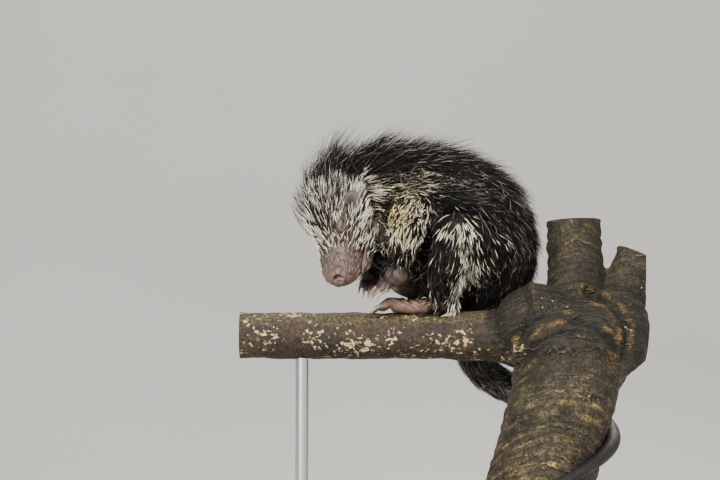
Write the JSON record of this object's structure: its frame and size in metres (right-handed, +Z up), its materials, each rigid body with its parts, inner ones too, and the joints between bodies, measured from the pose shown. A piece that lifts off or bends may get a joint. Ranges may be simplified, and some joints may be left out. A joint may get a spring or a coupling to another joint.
{
  "type": "hairy dwarf porcupine model on a perch and stand",
  "caption": "Life-size hairy dwarf porcupine hunched on a forked limb, head down over its hands, tail coiled round the trunk, on a flat display stand.",
  "frame": {"origin": "centre of the underside of the stand's base, on the floor", "axes": "+Z up; the branch lies along X, the animal faces -X along it and its left side faces -Y, towards the viewer"},
  "size_m": [0.3709, 0.23, 0.3944],
  "materials": {
    "coat": "black hair with pale quills",
    "skin": "bare pink-grey skin",
    "tail_skin": "bare dark scaly skin",
    "eye": "wet and dark",
    "bark": "ringed brown bark",
    "board": "dark stained board, satin",
    "steel": "brushed rod"
  },
  "bodies": {
    "root": {"stand_base": "board", "stand_rod_right": "steel", "stand_rod_left": "steel", "perch_trunk": "bark", "perch_branch": "bark", "torso": "coat", "neck": "coat", "head": "coat", "eye_left": "eye", "eye_right": "eye", "ear_left": "skin", "ear_right": "skin", "arm_upper_left": "coat", "arm_upper_right": "coat", "arm_fore_left": "coat", "arm_fore_right": "coat", "hand_left": "skin", "hand_right": "skin", "thigh_left": "coat", "thigh_right": "coat", "shank_left": "coat", "shank_right": "coat", "foot_left": "skin", "foot_right": "skin", "tail_base": "coat", "tail_mid": "tail_skin", "tail_end": "tail_skin"}
  },
  "joints": []
}
